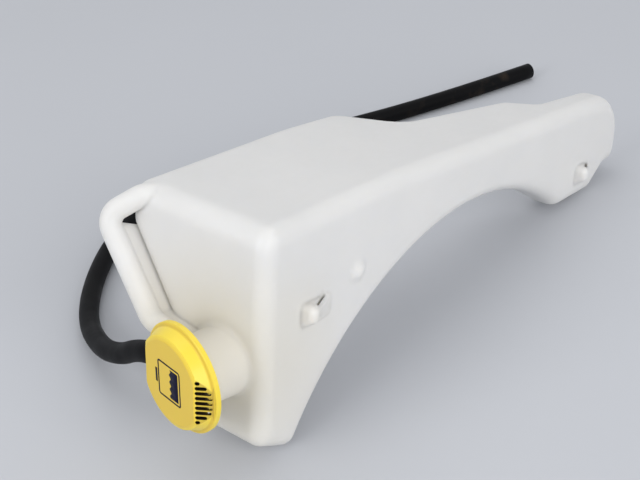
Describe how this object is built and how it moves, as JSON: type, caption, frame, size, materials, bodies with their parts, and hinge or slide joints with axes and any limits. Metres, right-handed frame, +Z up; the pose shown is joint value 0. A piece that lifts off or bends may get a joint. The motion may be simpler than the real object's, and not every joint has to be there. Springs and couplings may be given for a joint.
{
  "type": "coolant expansion tank",
  "caption": "White blow-moulded coolant expansion tank for a car, shaped around a round fan opening, with a yellow screw cap and a black overflow hose.",
  "frame": {"origin": "bottom centre of the box around tank, cap and seal, on the table it lies on", "axes": "+X from the filler cap to the narrow tail, +Y from the flat shroud face to the far wall, +Z up from the table"},
  "size_m": [0.5614, 0.2878, 0.1477],
  "materials": {
    "natural_plastic": "satin, slightly see-through natural white polyethylene",
    "yellow_plastic": "satin moulded",
    "seal_rubber": "matte",
    "hose_rubber": "matte"
  },
  "bodies": {
    "tank": {"tank_body": "natural_plastic", "overflow_hose": "hose_rubber"},
    "seal": {"cap_seal": "seal_rubber"},
    "cap": {"filler_cap": "yellow_plastic"}
  },
  "joints": [
    {"name": "cap_lift", "type": "slide", "parent": "tank", "child": "seal", "axis": [-0.9787, 0.1717, 0.113], "range_m": [0, 0.012]},
    {"name": "cap_turn", "type": "hinge", "parent": "seal", "child": "cap", "pos_m": [-0.18635, -0.02273, 0.06342], "axis": [-0.9787, 0.1717, 0.113], "range_deg": [0, 720]}
  ],
  "couplings": [
    {"joint": "cap_lift", "follows": "cap_turn", "m_per_rad": 0.00095}
  ]
}
